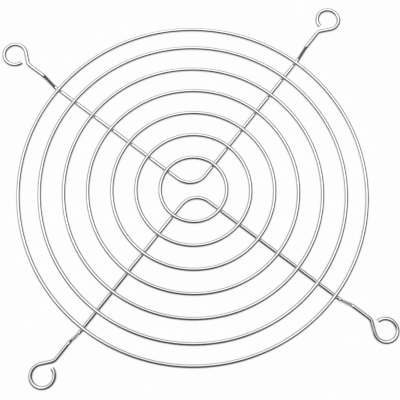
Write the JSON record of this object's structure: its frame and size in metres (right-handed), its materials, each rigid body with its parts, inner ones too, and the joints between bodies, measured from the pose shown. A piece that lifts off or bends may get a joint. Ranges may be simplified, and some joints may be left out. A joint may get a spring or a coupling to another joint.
{
  "type": "wire fan guard",
  "caption": "Round wire finger guard for a square axial fan: concentric welded wire rings on two bent ribs with stepped screw eyes at the corners.",
  "frame": {"origin": "midway between the four screw eyes, on the plane that the undersides of the two ribs lie in", "axes": "+Z towards the fan that the guard is screwed to, +Y towards the eyes of the upper rib"},
  "size_m": [0.1136, 0.1136, 0.005],
  "materials": {
    "plated_wire": "bright nickel and chrome plate over drawn steel wire"
  },
  "bodies": {
    "root": {"ring_1": "plated_wire", "ring_2": "plated_wire", "ring_3": "plated_wire", "ring_4": "plated_wire", "ring_5": "plated_wire", "ring_6": "plated_wire", "ring_7": "plated_wire", "upper_rib": "plated_wire", "lower_rib": "plated_wire"}
  },
  "joints": []
}
